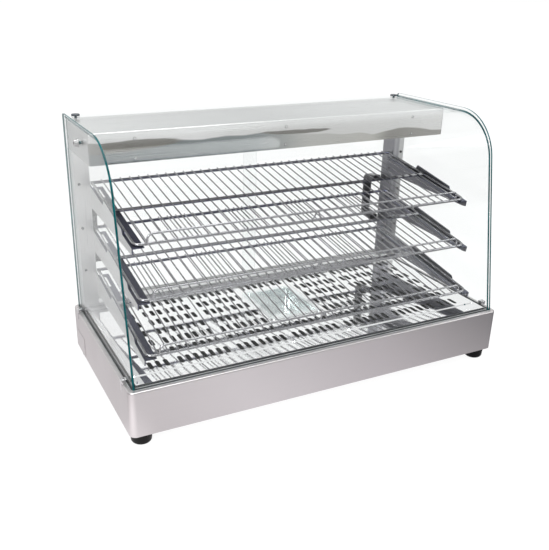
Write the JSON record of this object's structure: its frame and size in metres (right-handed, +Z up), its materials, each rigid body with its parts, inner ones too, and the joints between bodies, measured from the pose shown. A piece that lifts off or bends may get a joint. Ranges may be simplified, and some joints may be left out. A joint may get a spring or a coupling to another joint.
{
  "type": "hot food display case",
  "caption": "Countertop heated display case with slotted deck, tilted wire shelves, bent front glass, steel canopy and sliding rear doors.",
  "frame": {"origin": "centre of the outline on the plane the rubber feet stand on", "axes": "+Z up, +X to the right seen from the customer's side, -Y towards the customer, +Y towards the server's doors"},
  "size_m": [0.908, 0.4806, 0.576],
  "materials": {
    "casing_steel": "satin brushed stainless sheet",
    "inner_steel": "plain stainless sheet",
    "deck_steel": "polished stainless sheet",
    "grille_steel": "polished stainless plate with slots",
    "pan_steel": "pressed polished stainless",
    "heater_alloy": "oxidised sheath",
    "gasket_rubber": "matt black",
    "foot_rubber": "matt black",
    "screw_steel": "bright",
    "clip_chrome": "bright plated",
    "side_glass": "clear toughened with green edges",
    "curved_glass": "clear bent toughened",
    "knob_plastic": "dark grey moulded",
    "canopy_steel": "polished stainless sheet",
    "underplate_steel": "polished stainless sheet",
    "reflector_aluminium": "bright anodised",
    "lamp_glass": "frosted tube",
    "lamp_holder_ceramic": "white glazed",
    "upright_steel": "satin folded stainless",
    "bracket_steel": "satin stainless",
    "shelf_chrome": "bright plated wire",
    "fence_chrome": "bright plated rod",
    "track_aluminium": "anodised channel",
    "door_glass": "clear toughened",
    "handle_plastic": "black moulded",
    "panel_steel": "satin stainless plate",
    "control_plastic": "black moulded",
    "dial_plastic": "black moulded",
    "power_rocker_plastic": "red translucent",
    "light_rocker_plastic": "green translucent",
    "pilot_lamp": "amber lens",
    "gland_plastic": "black moulded"
  },
  "bodies": {
    "cabinet": {"base_casing": "casing_steel", "bottom_plate": "casing_steel", "cable_gland": "gland_plastic", "canopy_rivets": "screw_steel", "canopy_shell": "canopy_steel", "canopy_underplate": "underplate_steel", "column_left": "upright_steel", "column_right": "upright_steel", "control_panel": "panel_steel", "door_track_bottom": "track_aluminium", "door_track_top": "track_aluminium", "floor_deck": "deck_steel", "foot_front_left": "foot_rubber", "foot_front_right": "foot_rubber", "foot_rear_left": "foot_rubber", "foot_rear_right": "foot_rubber", "foot_screws": "screw_steel", "front_gasket": "gasket_rubber", "glass_clips": "clip_chrome", "grille_centre": "grille_steel", "heat_tray": "inner_steel", "heating_element_left": "heater_alloy", "heating_element_right": "heater_alloy", "indicator_lamp": "pilot_lamp", "lamp_holders": "lamp_holder_ceramic", "lamp_reflector": "reflector_aluminium", "lamp_tube": "lamp_glass", "pane_studs": "screw_steel", "service_cover": "casing_steel", "shelf_bracket_bottom_left": "bracket_steel", "shelf_bracket_bottom_right": "bracket_steel", "shelf_bracket_middle_left": "bracket_steel", "shelf_bracket_middle_right": "bracket_steel", "shelf_bracket_top_left": "bracket_steel", "shelf_bracket_top_right": "bracket_steel", "side_gaskets": "gasket_rubber", "side_pane_left": "side_glass", "side_pane_right": "side_glass", "switch_housings": "control_plastic", "thermostat_body": "control_plastic", "upright_screws": "screw_steel"},
    "front_glass": {"front_glass": "curved_glass"},
    "glass_knob_left": {"glass_knob_left": "knob_plastic"},
    "glass_knob_right": {"glass_knob_right": "knob_plastic"},
    "door_left": {"door_left": "door_glass", "door_handle_left": "handle_plastic"},
    "door_right": {"door_right": "door_glass", "door_handle_right": "handle_plastic"},
    "shelf_top": {"shelf_top": "shelf_chrome", "shelf_fence_top": "fence_chrome"},
    "shelf_middle": {"shelf_middle": "shelf_chrome", "shelf_fence_middle": "fence_chrome"},
    "shelf_bottom": {"shelf_bottom": "shelf_chrome", "shelf_fence_bottom": "fence_chrome"},
    "water_pan": {"water_pan": "pan_steel"},
    "grille_left": {"grille_left": "grille_steel"},
    "grille_right": {"grille_right": "grille_steel"},
    "thermostat_knob": {"thermostat_knob": "dial_plastic"},
    "power_rocker": {"power_rocker": "power_rocker_plastic"},
    "light_rocker": {"light_rocker": "light_rocker_plastic"}
  },
  "joints": [
    {"name": "front_glass_lift", "type": "slide", "parent": "cabinet", "child": "front_glass", "axis": [0, 0.1771, 0.9842], "range_m": [0, 0.02]},
    {"name": "glass_knob_left_turn", "type": "hinge", "parent": "front_glass", "child": "glass_knob_left", "pos_m": [-0.416, 0.18625, 0.571], "axis": [0, 0, 1], "continuous": true},
    {"name": "glass_knob_right_turn", "type": "hinge", "parent": "front_glass", "child": "glass_knob_right", "pos_m": [0.416, 0.18625, 0.571], "axis": [0, 0, 1], "continuous": true},
    {"name": "door_left_slide", "type": "slide", "parent": "cabinet", "child": "door_left", "axis": [1, 0, 0], "range_m": [0, 0.175]},
    {"name": "door_right_slide", "type": "slide", "parent": "cabinet", "child": "door_right", "axis": [-1, 0, 0], "range_m": [0, 0.175]},
    {"name": "shelf_top_lift", "type": "slide", "parent": "cabinet", "child": "shelf_top", "axis": [0, 0, 1], "range_m": [0, 0.04]},
    {"name": "shelf_middle_lift", "type": "slide", "parent": "cabinet", "child": "shelf_middle", "axis": [0, 0, 1], "range_m": [0, 0.04]},
    {"name": "shelf_bottom_lift", "type": "slide", "parent": "cabinet", "child": "shelf_bottom", "axis": [0, 0, 1], "range_m": [0, 0.04]},
    {"name": "water_pan_lift", "type": "slide", "parent": "cabinet", "child": "water_pan", "axis": [0, 0, 1], "range_m": [0, 0.042]},
    {"name": "grille_left_lift", "type": "slide", "parent": "cabinet", "child": "grille_left", "axis": [0, 0, 1], "range_m": [0, 0.012]},
    {"name": "grille_right_lift", "type": "slide", "parent": "cabinet", "child": "grille_right", "axis": [0, 0, 1], "range_m": [0, 0.012]},
    {"name": "thermostat_turn", "type": "hinge", "parent": "cabinet", "child": "thermostat_knob", "pos_m": [0.378, 0.21425, 0.076], "axis": [0, 1, 0], "range_deg": [0, 270]},
    {"name": "power_switch_rock", "type": "hinge", "parent": "cabinet", "child": "power_rocker", "pos_m": [0.29, 0.20175, 0.076], "axis": [1, 0, 0], "range_deg": [0, 18]},
    {"name": "light_switch_rock", "type": "hinge", "parent": "cabinet", "child": "light_rocker", "pos_m": [0.25, 0.20175, 0.076], "axis": [1, 0, 0], "range_deg": [0, 18]}
  ]
}
